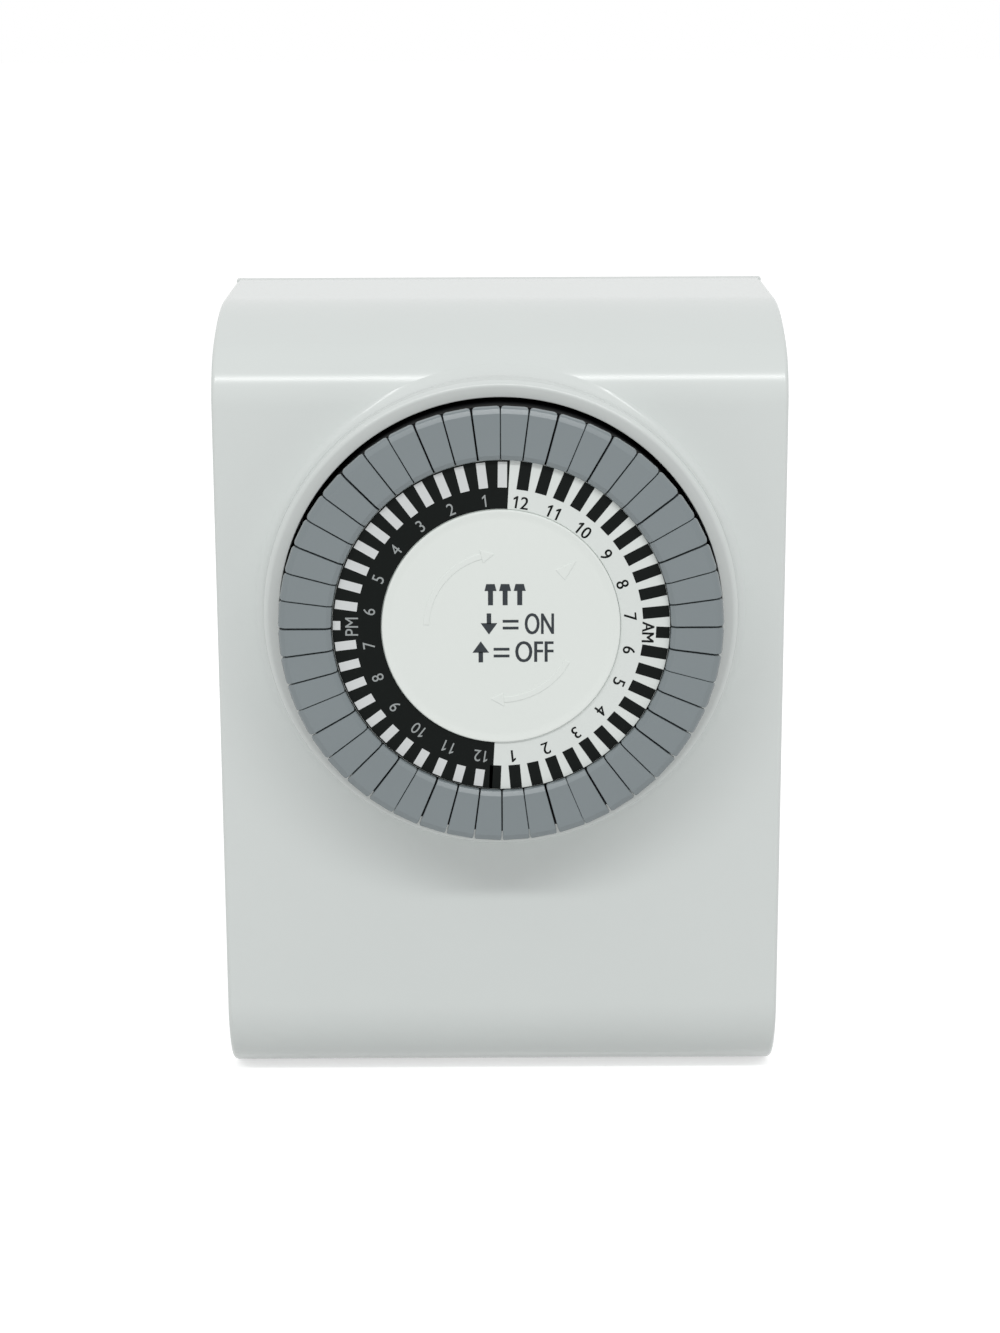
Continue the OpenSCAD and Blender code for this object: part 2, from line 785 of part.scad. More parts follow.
module motor_pinion() {
    color("#e2dfd2") front_view() {
        post(motor_x, idler_y, motor_front - motor_cover_t - 2.4, low_gear + gear_t + 0.2, output_r);
        gear(motor_x, idler_y, low_gear, gear_t, pinion_teeth, 180 / pinion_teeth);
    }
}

module motor_leads() {
    wire_r = 0.7;
    turn_z = (line_level + bar_t + motor_back) / 2;
    start = [motor_x + 10, lead_v + 2.2];
    finish = [blade_x + 1.2, start[1] - lead_drop];
    run = finish - start;
    color("#222222") front_view() {
        post(-blade_x - 2, lead_v, neutral_level + bar_t, motor_back, wire_r);
        post(start[0], start[1], turn_z, motor_back, wire_r);
        translate([start[0], start[1], turn_z]) rotate([0, 0, atan2(run[1], run[0])])
            rotate([0, 90, 0]) cylinder(h = norm(run), r = wire_r * 0.9);
        post(finish[0], finish[1], line_level + bar_t, turn_z, wire_r);
        for (p = [start, finish]) translate([p[0], p[1], turn_z]) sphere(r = wire_r * 1.2);
    }
}

// ---- gears and dial ----

module idler_gear() {
    color("#e2dfd2") front_view() difference() {
        union() {
            gear(0, idler_y, low_gear, gear_t, idler_teeth, 180);
            post(0, idler_y, low_gear, high_gear + high_gear_t, 2.4);
            gear(0, idler_y, high_gear, high_gear_t, pinion_teeth, 270 + 180 / pinion_teeth);
        }
        post(0, idler_y, plate_back, drum_back, idler_axle_r + run_gap);
    }
}

module idler_axle() {
    color("silver") front_view() {
        post(0, idler_y, plate_back, drum_back - pass_gap, idler_axle_r);
        post(0, idler_y, plate_front, plate_front + 0.25, idler_axle_r + 0.8);
    }
}

module dial_axle() {
    groove = web_top + 0.4;
    color("silver") front_view() translate([0, dial_y, 0]) rotate_extrude() polygon([
        [0, plate_back], [axle_r - 0.5, plate_back], [axle_r - 0.5, plate_front],
        [4, plate_front], [4, hub_back - 0.1], [axle_r, hub_back - 0.1],
        [axle_r, groove], [axle_r - 0.5, groove], [axle_r - 0.5, groove + 0.7],
        [axle_r, groove + 0.7], [axle_r, cap_top - cap_t - 0.2], [0, cap_top - cap_t - 0.2]
    ]);
}

module dial_clip() {
    groove = web_top + 0.4;
    color("silver") front_view() difference() {
        post(0, dial_y, groove + 0.05, groove + 0.65, axle_r + 1.7);
        post(0, dial_y, groove - 1, groove + 2, axle_r - 0.5 + press_gap);
        block([-1.6, dial_y - 6, groove - 1], [1.6, dial_y, groove + 2]);
    }
}

module dial_gear() {
    color("#e2dfd2") front_view() difference() {
        union() {
            gear(0, dial_y, high_gear, high_gear_t, dial_teeth, 90);
            post(0, dial_y, high_gear, web_top - web_t, 8);
        }
        post(0, dial_y, plate_back, web_top, hub_r + press_gap);
    }
}

module dial_drum() {
    color("#17181a") front_view() translate([0, dial_y, 0]) difference() {
        rotate_extrude($fn = 128) polygon([
            [axle_r + run_gap, hub_back], [hub_r, hub_back], [hub_r, web_top - web_t],
            [scale_r - 1.8, web_top - web_t], [scale_r - 1.8, drum_back],
            [drum_r, drum_back], [drum_r, drum_top], [scale_r, drum_top],
            [scale_r, platform_top], [cap_r + 0.4, platform_top], [cap_r + 0.4, web_top],
            [axle_r + run_gap, web_top]
        ]);
        for (i = [0 : 2 * HOURS - 1])
            rotate([0, 0, 360 * (i + 0.5) / (2 * HOURS)])
                block(
                    [slot_in, -stem_w / 2 - slot_gap, drum_back - 1],
                    [slot_out, stem_w / 2 + slot_gap, drum_top + 1]
                );
    }
}

module scale_disc() {
    color("white") front_view() difference() {
        post(0, dial_y, platform_top, scale_top, scale_r);
        post(0, dial_y, platform_top - 1, scale_top + 1, cap_r + 0.35);
    }
}

module centre_cap() {
    color("white") front_view() difference() {
        union() {
            post(0, dial_y, cap_top - cap_t, cap_top, cap_r);
            post(0, dial_y, web_top + 1.3, cap_top - cap_t + eps, axle_r + 1.2);
        }
        post(0, dial_y, web_top, cap_top - cap_t - 0.1, axle_r + press_gap);
    }
}

// Outline of a pin's head: [radial, tangential], tapered, with rounded outer corners
function head_half(r) = r * tan(90 / HOURS) - pin_gap / 2;
module pin_head() {
    side = head_half(pin_out - pin_corner) - pin_corner * (1 - sin(90 / HOURS));
    corner = [pin_out - pin_corner, side];
    polygon(concat(
        [[head_in, -head_half(head_in)]],
        [for (p = arc([corner[0], -corner[1]], pin_corner, -86, 0, 4)) p],
        [for (p = arc(corner, pin_corner, 0, 86, 4)) p],
        [[head_in, head_half(head_in)]]
    ));
}

// One pin: its head lies over the rim and its stem runs through the drum
module pin(i) {
    stem_in = slot_in + slot_gap;
    stem_out = slot_out - slot_gap;
    translate([0, dial_y, 0]) rotate([0, 0, 90 - 180 * (i + 0.5) / HOURS]) {
        translate([0, 0, head_bottom]) linear_extrude(height = pin_head_t) pin_head();
        block([stem_in, -stem_w / 2, drum_back], [stem_out, stem_w / 2, head_bottom + eps]);
    }
}

// The two half hour pins of one hour, counted clockwise from the top
module hour_pins(hour) {
    color("#8b9499") front_view() for (i = [0, 1]) pin(2 * hour + i);
}

front_shell();
back_cover();
outlet_face();
housing_screws();
neutral_blade();
line_blade();
ground_pin();
neutral_contact();
line_contact();
ground_contact();
fixed_contact();
moving_contact();
switch_lever();
lever_axle();
lever_spring();
override_slider();
override_detent();
chassis_plate();
plate_screws();
motor_case();
motor_coil();
motor_rotor();
gear_cassette();
motor_cover();
motor_screws();
motor_pinion();
motor_leads();
idler_gear();
idler_axle();
dial_axle();
dial_gear();
dial_drum();
dial_clip();
scale_disc();
centre_cap();
for (i = [0 : HOURS - 1])
    hour_pins(i);
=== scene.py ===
"""Looks of a plug in timer switch with a 48 pin, 24 hour dial."""
import math
import random

import bmesh
import bpy
from mathutils import Matrix, Vector


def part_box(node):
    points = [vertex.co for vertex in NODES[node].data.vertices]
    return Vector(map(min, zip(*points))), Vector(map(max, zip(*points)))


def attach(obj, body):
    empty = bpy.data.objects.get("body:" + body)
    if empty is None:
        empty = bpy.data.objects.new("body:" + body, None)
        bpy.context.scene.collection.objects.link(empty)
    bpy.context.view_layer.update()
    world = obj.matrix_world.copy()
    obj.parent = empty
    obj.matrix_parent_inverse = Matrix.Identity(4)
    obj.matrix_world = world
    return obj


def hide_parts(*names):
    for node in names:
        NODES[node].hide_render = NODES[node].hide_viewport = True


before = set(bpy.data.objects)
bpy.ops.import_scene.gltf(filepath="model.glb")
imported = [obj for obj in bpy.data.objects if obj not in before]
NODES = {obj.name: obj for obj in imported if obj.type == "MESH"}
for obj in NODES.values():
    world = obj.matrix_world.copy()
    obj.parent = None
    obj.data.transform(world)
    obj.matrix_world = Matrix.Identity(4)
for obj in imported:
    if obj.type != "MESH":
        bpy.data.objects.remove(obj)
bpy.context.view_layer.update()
MM = 0.001

# ---- places and sizes from the frame, in metres ----

SHELL_LOW, SHELL_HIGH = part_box("front_shell")
DRUM_LOW, DRUM_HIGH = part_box("dial_drum")
DISC_LOW, DISC_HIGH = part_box("scale_disc")
CAP_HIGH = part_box("centre_cap")[1]
PIN_LOW, PIN_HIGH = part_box("hour_pins_01")
FLANGE_LOW, FLANGE_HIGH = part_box("outlet_face")

HALF_WIDTH = SHELL_HIGH.x
TOP = SHELL_HIGH.z
BOTTOM = SHELL_LOW.z
SHELL_BACK = -SHELL_HIGH.y
RING_TOP = -SHELL_LOW.y
DIAL_Z = (DRUM_LOW.z + DRUM_HIGH.z) / 2
DRUM_R = DRUM_HIGH.x
DISC_TOP = -DISC_LOW.y
HEAD_TOP = -PIN_LOW.y
DRUM_TOP = -DRUM_LOW.y

# Housing
RING_HEIGHT = 4 * MM
FRONT = RING_TOP - RING_HEIGHT
BOTTOM_ROUND = 11 * MM
TOP_ROUND = 8.5 * MM
TOP_CROWN = 35 * MM
CROWN_FROM = 64  # degrees of the top round at which the crown takes over
CROWN_SIN = math.sin(math.radians(CROWN_FROM))
CROWN_COS = math.cos(math.radians(CROWN_FROM))
ROUND_Z = TOP - TOP_CROWN * (1 - CROWN_SIN) - TOP_ROUND * CROWN_SIN
CROWN_DEPTH = FRONT - TOP_ROUND - (TOP_CROWN - TOP_ROUND) * CROWN_COS
CROWN_Z = ROUND_Z - (TOP_CROWN - TOP_ROUND) * CROWN_SIN
WALL = 2 * MM
SIDE_EDGE = 0.6 * MM
ARC_STEPS = 48
EDGE_STEPS = 5

# Raised ring
RING_IN = DRUM_R + 0.6 * MM
RING_OUT = RING_IN + 2 * MM
RING_LIP = 0.8 * MM
INNER_LIP = 0.12 * MM
RING_FILLET = 1.3 * MM
RING_FOOT = 0.3 * MM
RING_ROOT = 2.4 * MM
FILLET_END = 262  # degrees at which the foot's fillet meets the face
RING_STEPS = 288

# Openings
BORE_R = RING_IN + 0.6 * MM
PAST = 1 * MM  # how far a cutting tool reaches past a wall
FLANGE = 1.5 * MM
SLOT_HALF = 2.3 * MM
SLOT_DEPTH = (-FLANGE_LOW.y - FLANGE_HIGH.y) / 2
SLOT_TRAVEL = 4 * MM
SLIDER_Z = -46 * MM

# Pins
PIN_COUNT = 48
HALF_DAY = PIN_COUNT // 2
PITCH = 360 / PIN_COUNT
PIN_OUT = DRUM_R + 0.37 * MM
PIN_IN = DRUM_R - 6.02 * MM
PIN_GAP = 0.17 * MM
HEAD_T = 0.95 * MM
HEAD_LOW = HEAD_TOP - HEAD_T
OUTER_CORNER = 0.42 * MM
INNER_CORNER = 0.12 * MM
# Each head's top near its two ends, in mm, as (distance before the end, drop)
OUT_EASE = ((0.86, 0), (0.8, 0.02), (0.27, 0.28), (0.1, 0.5), (0, 0.8))
IN_EASE = ((0, 0.44), (0.08, 0.31), (0.56, 0.03), (0.62, 0))
SIDE_BEVEL = 0.05 * MM
SKIRT_IN = DRUM_R + 0.04 * MM
SKIRT_LOW = DRUM_TOP + 0.5 * MM
SKIRT_TOP = HEAD_TOP - 0.9 * HEAD_T
UNEVEN = 0.15  # degrees
SEED = 7
PIN_SHARP = 19  # degrees above which a pin's edge stays hard
STEM_IN = 21 * MM
STEM_OUT = 25.9 * MM
STEM_HALF = 0.85 * MM
STEM_LOW = -PIN_HIGH.y
STEM_TOP = HEAD_TOP - HEAD_T / 2

# Centre cap
CAP_TOP = DISC_TOP + 0.36 * MM
CAP_EDGE = CAP_HIGH.x - 0.15 * MM
CAP_DISH = 0.14 * MM
CAP_FLAT = 13.1 * MM
CAP_SLOPE = (13.5 * MM, 0.02 * MM)  # where the dish begins to rise: its radius and its rise there
CAP_RIM = (0.4 * MM, 0.04 * MM)  # where the rise ends: in from the edge and below the top
CAP_ROUND = 0.16 * MM
CAP_UNDER = CAP_TOP - 0.86 * MM
BOSS_OUT, BOSS_IN = 3.7 * MM, 2.52 * MM
BOSS_FLOOR = CAP_TOP - 0.96 * MM
AXIS = 0.01 * MM  # the cap's profile ends this close to the dial's axis

# Scale disc
DISC_IN = CAP_EDGE + 0.03 * MM
DISC_OUT = PIN_IN - 0.04 * MM
DISC_EASE = 0.05 * MM
DISC_STEPS = 288

# Print on the disc, as radii and widths; angles run clockwise from the top, in degrees
PRINT_T = 0.02 * MM
BOLD_STEP = PRINT_T / 8
AM_TICK = dict(inner=17.1 * MM, outer=20.28 * MM, width=1.4 * MM, turn=1.8, drop=0.25 * MM)
AM_OFF_CENTRE = (-0.18 * MM, -0.15 * MM)
PM_TICK = dict(inner=17.5 * MM, outer=20.1 * MM, width=1.1 * MM, turn=0.7, drop=0.5 * MM)
AM_SHORT = dict(tick=90, inner=18.65 * MM)
PM_SHORT = dict(tick=270, inner=19.3 * MM, outer=20.2 * MM)
SECTOR = (183.3, 363.2, CAP_EDGE + 0.08 * MM, PIN_IN - 0.1 * MM)
AM_PLACE = dict(r=15.8 * MM, turn=1.7, shift=(-0.2 * MM, -0.45 * MM))
PM_PLACE = dict(r=15.9 * MM, turn=1.0, shift=(-0.1 * MM, -0.42 * MM))
AM_NUMBER = dict(height=1.5 * MM, squeeze=0.95, bold=0.02)
PM_NUMBER = dict(height=1.45 * MM, squeeze=0.92)
AM_WORD = dict(height=1.45 * MM, squeeze=0.85, bold=0.03)
PM_WORD = dict(height=1.55 * MM, squeeze=0.85)
AM_WORD_AT = (17.7 * MM, 92.4)
PM_WORD_AT = (17.95 * MM, 270.3)

# A 1 with its flag and the space from figure to figure, as parts of a figure's height
FIGURE_ONE = ((0.13, -0.5), (0.13, 0.5), (0.05, 0.5), (-0.2, 0.3), (-0.2, 0.16), (0, 0.29), (0, -0.5))
FIGURE_STEP = 0.74

# Raised marks on the cap
MARK_RISE = 0.09 * MM
MARK_EASE = 0.05 * MM
ARROWS = ((272, 345), (118, 178))
ARROW_R = 9 * MM
ARROW_HALF = 0.35 * MM
BARB_HALF = 2.4 * ARROW_HALF
BARB_TURN = 10
POINTER = 48
POINTER_HALF = 5
POINTER_R = (9.6 * MM, 12.2 * MM)

# Legend on the cap, in mm: signs as (x, z) from their own middle, and their places on the cap
PIN_SIGN = (
    ((-0.72, 0.45), (-0.5, 1.3), (0.5, 1.3), (0.72, 0.45)),
    ((-0.3, -1.3), (-0.3, 0.46), (0.3, 0.46), (0.3, -1.3)),
)
ARROW_SIGN = (
    ((-1, -0.1), (0, 1.3), (1, -0.1)),
    ((-0.27, -1.3), (-0.27, 0), (0.27, 0), (0.27, -1.3)),
)
PIN_SIGNS = ((-1.25, 4), (0.5, 4), (2.25, 4))
DOWN_ARROW = (-1.45, 0.4)
UP_ARROW = (-2.45, -3.05)
WORDS = (("ON", 4.6, 0.4, 0.62), ("OFF", 4.0, -3.05, 0.72))
WORD = dict(height=2.6 * MM, bold=0.02)
EQUALS = ((1.15, 0.3), (0.05, -3.15))
EQUALS_RISE, EQUALS_HALF_T, EQUALS_HALF_WIDTH = 0.42, 0.17, 0.95

# Camera and light
LENS = 78.10
SENSOR = 36
CAMERA_AT = (-0.0008, -0.38949, 0.07528)
CAMERA_TURN, CAMERA_TILT, CAMERA_ROLL = -0.111, 75.772, -0.226
AMBIENT = 0.61
STRIP = dict(energy=4.7, size=(1.4, 0.064), distance=1.0, elevation=46)
FLOOR_HALF = 3
FLOOR_DROP = 0.2 * MM
FLOOR_GREY = 0.74
FLOOR_GLOW = 0.58

# Finishes
MOTTLE_SCALE = 60
GRAIN_DEPTH = 0.02 * MM
NORMAL_WEIGHT = 80
WELD_WITHIN = 0.002 * MM
FLAT_WITHIN = 0.5  # degrees
EASE_ABOVE = 40  # degrees


# ---- mesh helpers ----

def place(x, z, depth):
    """A point at x, at height z and at a depth forward of the wall face."""
    return Vector((x, -depth, z))


def arc(centre, radius, start, end, steps):
    """Points of an arc, its angles in degrees."""
    turns = [math.radians(start + (end - start) * i / steps) for i in range(steps + 1)]
    return [(centre[0] + radius * math.cos(t), centre[1] + radius * math.sin(t)) for t in turns]


def new_object(name, verts, faces):
    """A mesh object in the scene, from its vertices and faces."""
    mesh = bpy.data.meshes.new(name)
    mesh.from_pydata([tuple(v) for v in verts], [], faces)
    mesh.validate()
    obj = bpy.data.objects.new(name, mesh)
    bpy.context.scene.collection.objects.link(obj)
    return obj


def outward(obj):
    """Turns every face of a closed mesh outward."""
    work = bmesh.new()
    work.from_mesh(obj.data)
    bmesh.ops.recalc_face_normals(work, faces=work.faces)
    work.to_mesh(obj.data)
    work.free()
    return obj


def lofted(rings, caps=True):
    """Vertices and faces of closed rings joined one to the next, with flat caps at both ends."""
    count = len(rings[0])
    verts = [p for ring in rings for p in ring]
    faces = []
    for j in range(len(rings) - 1):
        for i in range(count):
            k = (i + 1) % count
            faces.append((j * count + i, j * count + k, (j + 1) * count + k, (j + 1) * count + i))
    if caps:
        faces.append(tuple(range(count))[::-1])
        faces.append(tuple(range((len(rings) - 1) * count, len(rings) * count)))
    return verts, faces


def revolved(name, profile, steps, centre_z):
    """A closed profile of (radius, depth) turned about the dial's axis."""
    rings = []
    for i in range(steps):
        turn = 2 * math.pi * i / steps
        rings.append([place(r * math.sin(turn), centre_z + r * math.cos(turn), d) for r, d in profile])
    verts, faces = lofted(rings + [rings[0]], caps=False)
    count = len(profile)
    last = steps * count
    faces = [tuple(v % last if v >= last else v for v in f) for f in faces]
    return outward(new_object(name, verts[:last], faces))


def joined(name, parts):
    """One object from (vertices, faces) lists."""
    verts, faces = [], []
    for part_verts, part_faces in parts:
        base = len(verts)
        verts += list(part_verts)
        faces += [tuple(base + i for i in f) for f in part_faces]
    return new_object(name, verts, faces)


def apply_all(obj):
    """Applies the modifiers of an object of the script's own."""
    graph = bpy.context.evaluated_depsgraph_get()
    mesh = bpy.data.meshes.new_from_object(obj.evaluated_get(graph))
    obj.modifiers.clear()
    old = obj.data
    obj.data = mesh
    bpy.data.meshes.remove(old)
    return obj


def cut(obj, tool, operation="DIFFERENCE"):
    """Cuts a tool out of an object, or adds it, and deletes the tool."""
    step = obj.modifiers.new("cut", "BOOLEAN")
    step.operation = operation
    step.solver = "MANIFOLD"
    step.object = tool
    apply_all(obj)
    mesh = tool.data
    bpy.data.objects.remove(tool)
    bpy.data.meshes.remove(mesh)
    return obj


def smooth(obj, angle=30):
    """Smooth faces with hard edges above an angle, and normals that keep flat faces flat."""
    obj.data.shade_smooth()
    obj.data.set_sharp_from_angle(angle=math.radians(angle))
    step = obj.modifiers.new("normals", "WEIGHTED_NORMAL")
    step.keep_sharp = True
    step.weight = NORMAL_WEIGHT
    return obj


def block(name, low, high):
    """A box between two corners, each given as (x, height, depth)."""
    outline = [(low[0], low[1]), (high[0], low[1]), (high[0], high[1]), (low[0], high[1])]
    layers = [[place(x, z, depth) for x, z in outline] for depth in (low[2], high[2])]
    return outward(new_object(name, *lofted(layers)))


# ---- materials ----

def material(name, colour, rough=0.45, metal=0.0, speckle=0.03, grain=0.0, grain_size=900, specular=0.5):
    """A plain finish with a slight unevenness in its colour and, if asked, a fine grain."""
    mat = bpy.data.materials.new(name)
    mat.use_nodes = True
    nodes, links = mat.node_tree.nodes, mat.node_tree.links
    shader = nodes["Principled BSDF"]
    shader.inputs["Roughness"].default_value = rough
    shader.inputs["Metallic"].default_value = metal
    shader.inputs["Specular IOR Level"].default_value = specular
    where = nodes.new("ShaderNodeTexCoord")
    noise = nodes.new("ShaderNodeTexNoise")
    noise.inputs["Scale"].default_value = MOTTLE_SCALE
    noise.inputs["Detail"].default_value = 3
    links.new(where.outputs["Object"], noise.inputs["Vector"])
    ramp = nodes.new("ShaderNodeValToRGB")
    ramp.color_ramp.elements[0].position = 0.3
    ramp.color_ramp.elements[1].position = 0.7
    low = [c * (1 - speckle) for c in colour]
    high = [min(1, c * (1 + speckle)) for c in colour]
    ramp.color_ramp.elements[0].color = (*low, 1)
    ramp.color_ramp.elements[1].color = (*high, 1)
    links.new(noise.outputs["Fac"], ramp.inputs["Fac"])
    links.new(ramp.outputs["Color"], shader.inputs["Base Color"])
    if grain:
        fine = nodes.new("ShaderNodeTexNoise")
        fine.inputs["Scale"].default_value = grain_size
        fine.inputs["Detail"].default_value = 2
        links.new(where.outputs["Object"], fine.inputs["Vector"])
        bump = nodes.new("ShaderNodeBump")
        bump.inputs["Strength"].default_value = grain
        bump.inputs["Distance"].default_value = GRAIN_DEPTH
        links.new(fine.outputs["Fac"], bump.inputs["Height"])
        links.new(bump.outputs["Normal"], shader.inputs["Normal"])
    return mat


def srgb(r, g, b):
    """Linear colour of three sRGB values from 0 to 255."""
    def one(v):
        v /= 255
        return v / 12.92 if v <= 0.04045 else ((v + 0.055) / 1.055) ** 2.4
    return (one(r), one(g), one(b))


FINISH = dict(
    shell=material("shell white", srgb(216, 221, 219), rough=0.2, speckle=0.006, grain=0.06),
    cover=material("cover white", srgb(212, 217, 215), rough=0.35, speckle=0.006, grain=0.1),
    pin=material("pin grey", srgb(125, 134, 137), rough=0.21, speckle=0.02, grain=0.06, specular=0.5),
    drum=material("drum black", srgb(14, 15, 16), rough=0.6, specular=0.12),
    disc=material("disc white", srgb(224, 229, 226), rough=0.5, speckle=0.006, specular=0.35),
    cap=material("cap white", srgb(230, 235, 231), rough=0.45, speckle=0.006, specular=0.4),
    black_print=material("print black", srgb(24, 27, 26), rough=0.6, specular=0.06),
    pale_print=material("print grey", srgb(158, 163, 163), rough=0.6, specular=0.2),
    white_print=material("print white", srgb(214, 217, 217), rough=0.6, specular=0.2),
    grey_print=material("legend grey", srgb(56, 61, 65), rough=0.6, specular=0.2),
    slider=material("slider grey", srgb(120, 126, 129), rough=0.5, speckle=0.02),
    nylon=material("gear nylon", srgb(228, 224, 212), rough=0.5),
    chassis=material("chassis grey", srgb(170, 174, 175), rough=0.5),
    lever=material("lever black", srgb(34, 34, 36), rough=0.5),
    brass=material("blade brass", srgb(206, 178, 110), rough=0.28, metal=1, speckle=0.04, grain=0.1),
    contact=material("contact brass", srgb(200, 165, 96), rough=0.35, metal=1, speckle=0.04),
    steel=material("steel", srgb(182, 184, 188), rough=0.3, metal=1, speckle=0.03),
    copper=material("copper coil", srgb(184, 112, 62), rough=0.4, metal=0.6, grain=0.6, grain_size=3000),
    magnet=material("magnet", srgb(70, 72, 76), rough=0.6),
    wire=material("wire black", srgb(30, 30, 32), rough=0.45),
)


# ---- the CAD's own pieces ----

LOOKS = dict(
    back_cover="cover", outlet_face="cover", housing_screws="steel",
    neutral_blade="brass", line_blade="brass", ground_pin="brass",
    neutral_contact="contact", line_contact="contact", ground_contact="contact",
    fixed_contact="contact", moving_contact="contact",
    switch_lever="lever", lever_axle="steel", lever_spring="steel",
    override_slider="slider", override_detent="steel",
    chassis_plate="chassis", plate_screws="steel",
    motor_case="steel", motor_coil="copper", motor_rotor="magnet", gear_cassette="lever",
    motor_cover="steel", motor_screws="steel", motor_pinion="nylon", motor_leads="wire",
    idler_gear="nylon", idler_axle="steel", dial_axle="steel", dial_gear="nylon",
    dial_drum="drum", dial_clip="steel",
)
# Width of the eased edges of the pieces that are seen, in mm
EASED = dict(
    back_cover=0.35, outlet_face=0.3, housing_screws=0.12, neutral_blade=0.15, line_blade=0.15,
    override_slider=0.35, dial_drum=0.08, ground_pin=0.1,
)


def paint(obj, finish):
    """Gives an object one of the finishes."""
    obj.data.materials.clear()
    obj.data.materials.append(FINISH[finish])


def dress_frame():
    """Gives each CAD piece its finish, and the seen ones eased edges."""
    for name, finish in LOOKS.items():
        obj = NODES[name]
        paint(obj, finish)
        if name in EASED:
            weld = obj.modifiers.new("weld", "WELD")
            weld.merge_threshold = WELD_WITHIN
            flat = obj.modifiers.new("flat faces", "DECIMATE")
            flat.decimate_type = "DISSOLVE"
            flat.angle_limit = math.radians(FLAT_WITHIN)
            bevel = obj.modifiers.new("eased edges", "BEVEL")
            bevel.width = EASED[name] * MM
            bevel.segments = 3
            bevel.limit_method = "ANGLE"
            bevel.angle_limit = math.radians(EASE_ABOVE)
            bevel.harden_normals = True


# ---- front shell ----

def side_profile(inset, back):
    """Side outline as (depth, height), drawn in by an inset."""
    low = arc((FRONT - BOTTOM_ROUND, BOTTOM + BOTTOM_ROUND), BOTTOM_ROUND - inset, -90, 0, ARC_STEPS)
    high = arc((FRONT - TOP_ROUND, ROUND_Z), TOP_ROUND - inset, 0, CROWN_FROM, ARC_STEPS)
    crown = arc((CROWN_DEPTH, CROWN_Z), TOP_CROWN - inset, CROWN_FROM, 90, ARC_STEPS // 3)[1:]
    return [(back, BOTTOM + inset)] + low + high + crown + [(back, TOP - inset)]


def body_solid(name, inset, back, half, edge):
    """The side outline across the width, with rounded side edges where edge isn't 0."""
    columns = [(half, 0)]
    if edge:
        columns = [
            (half - edge + edge * math.cos(t), edge * (1 - math.sin(t)))
            for t in (math.radians(90 * i / EDGE_STEPS) for i in range(EDGE_STEPS + 1))
        ]
    columns = [(-x, e) for x, e in columns] + [(x, e) for x, e in reversed(columns)]
    rings = [[place(x, z, d) for d, z in side_profile(inset + e, back)] for x, e in columns]
    return outward(new_object(name, *lofted(rings)))


def surface_depth(z):
    """Depth of the housing's face at height z, up to the top round."""
    rise = z - ROUND_Z
    if rise <= 0:
        return FRONT
    return FRONT - TOP_ROUND + math.sqrt(TOP_ROUND ** 2 - rise ** 2)


def ring_solid():
    """The raised ring; its foot fillet follows the rounded top of the housing."""
    inner = [(RING_IN, FRONT - RING_ROOT)]
    inner += arc((RING_IN + INNER_LIP, RING_TOP - INNER_LIP), INNER_LIP, 180, 90, 3)
    lip = arc((RING_OUT - RING_LIP, RING_TOP - RING_LIP), RING_LIP, 90, 0, 8)
    fillet = arc((RING_OUT + RING_FILLET, RING_FILLET), RING_FILLET, 180, FILLET_END, 10)
    root = [(fillet[-1][0] + RING_FOOT, FRONT - RING_ROOT)]
    rings = []
    for i in range(RING_STEPS):
        turn = 2 * math.pi * i / RING_STEPS
        along = (math.sin(turn), math.cos(turn))
        foot = [(r, d + surface_depth(DIAL_Z + r * along[1])) for r, d in fillet]
        section = inner + lip + foot + root
        rings.append([place(r * along[0], DIAL_Z + r * along[1], d) for r, d in section])
    count = len(rings[0])
    total = count * RING_STEPS
    verts, faces = lofted(rings + [rings[0]], caps=False)
    faces = [tuple(v % total for v in f) for f in faces]
    return outward(new_object("ring", verts[:total], faces))


def round_tool(name, radius, low, high, steps):
    """A cutting tool on the dial's axis between two depths."""
    circle = arc((0, 0), radius, 0, 360, steps)[:-1]
    layers = [[place(x, DIAL_Z + z, depth) for x, z in circle] for depth in (low, high)]
    return outward(new_object(name, *lofted(layers)))


def make_shell():
    """The white front moulding with its ring, bore, outlet opening and slider slot."""
    shell = body_solid("shell", 0, SHELL_BACK, HALF_WIDTH, SIDE_EDGE)
    cut(shell, body_solid("cavity", WALL, SHELL_BACK - PAST, HALF_WIDTH - WALL, 0))
    cut(shell, round_tool("bore", BORE_R, FRONT - 2 * WALL, RING_TOP + PAST, 144))
    cut(shell, ring_solid(), "UNION")
    inner = HALF_WIDTH - WALL - PAST
    outer = HALF_WIDTH + PAST
    outlet = block(
        "opening",
        (inner, FLANGE_LOW.z + FLANGE, -FLANGE_HIGH.y + FLANGE),
        (outer, FLANGE_HIGH.z - FLANGE, -FLANGE_LOW.y - FLANGE),
    )
    cut(shell, outlet)
    slot = block(
        "slot",
        (-outer, SLIDER_Z - SLOT_HALF - SLOT_TRAVEL, SLOT_DEPTH - SLOT_HALF),
        (-inner, SLIDER_Z + SLOT_HALF, SLOT_DEPTH + SLOT_HALF),
    )
    cut(shell, slot)
    smooth(shell)
    paint(shell, "shell")
    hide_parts("front_shell")
    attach(shell, "housing")


# ---- pins ----

def corner_cut(reach, radius):
    """How far a rounded corner draws a side in, at a distance before the end."""
    return radius - math.sqrt(radius ** 2 - (radius - reach) ** 2) if reach < radius else 0


def head_stations():
    """A pin head's long section as (radius, depth), from its inner end over the top to its outer end."""
    inner = [(PIN_IN + reach * MM, HEAD_TOP - drop * MM) for reach, drop in IN_EASE]
    outer = [(PIN_OUT - reach * MM, HEAD_TOP - drop * MM) for reach, drop in OUT_EASE]
    return inner + outer


